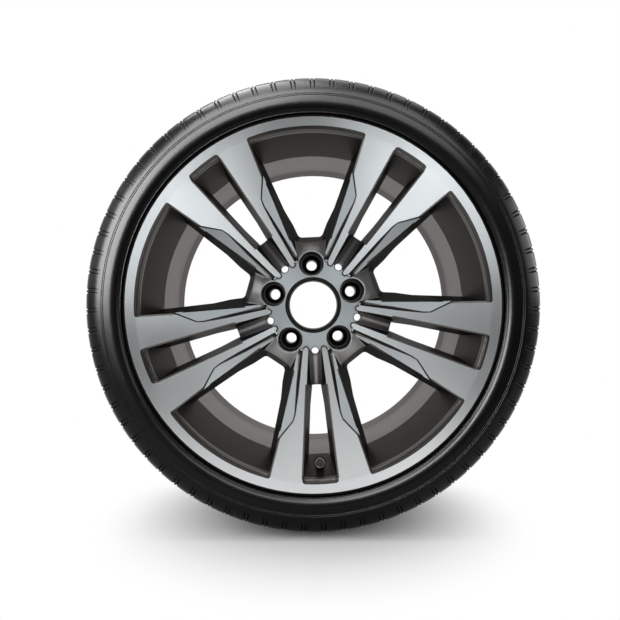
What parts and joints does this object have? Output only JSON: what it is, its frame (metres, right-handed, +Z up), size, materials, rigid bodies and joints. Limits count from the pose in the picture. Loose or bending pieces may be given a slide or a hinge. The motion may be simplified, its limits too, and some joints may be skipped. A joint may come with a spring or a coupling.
{
  "type": "wheel and tyre assembly",
  "caption": "Cast alloy wheel with twin spokes, a turned bright face and dark recesses, carrying a low-profile tyre and a screw-capped valve.",
  "frame": {"origin": "wheel centre: on the spin axis, half-way across the rim's width", "axes": "+Y along the spin axis towards the car, the front face looks along -Y, +Z up"},
  "size_m": [0.667, 0.262, 0.6668],
  "materials": {
    "alloy": "turned bright face, dark painted recesses",
    "tyre_rubber": "satin black rubber",
    "valve_metal": "satin",
    "seal_rubber": "matt",
    "washer_metal": "satin",
    "nut_metal": "satin",
    "core_brass": "plain",
    "spring_steel": "plain",
    "cap_plastic": "matt"
  },
  "bodies": {
    "wheel": {"alloy_wheel": "alloy", "tyre": "tyre_rubber", "valve_stem": "valve_metal", "valve_grommet": "seal_rubber", "valve_washer": "washer_metal", "valve_nut": "nut_metal", "valve_core_barrel": "core_brass", "valve_core_gasket": "seal_rubber", "valve_core_spring": "spring_steel"},
    "cap": {"valve_cap": "cap_plastic", "valve_cap_seal": "seal_rubber"},
    "core_pin": {"valve_core_pin": "core_brass", "valve_core_cup": "seal_rubber"}
  },
  "joints": [
    {"name": "cap_lift", "type": "slide", "parent": "wheel", "child": "cap", "axis": [-0.0115, -0.9613, 0.2754], "range_m": [0, 0.03]},
    {"name": "core_press", "type": "slide", "parent": "wheel", "child": "core_pin", "axis": [0.0115, 0.9613, -0.2754], "range_m": [0, 0.0015], "stiffness_N_per_m": 1500, "springref_m": -0.002, "deforming": ["valve_core_spring"]}
  ]
}
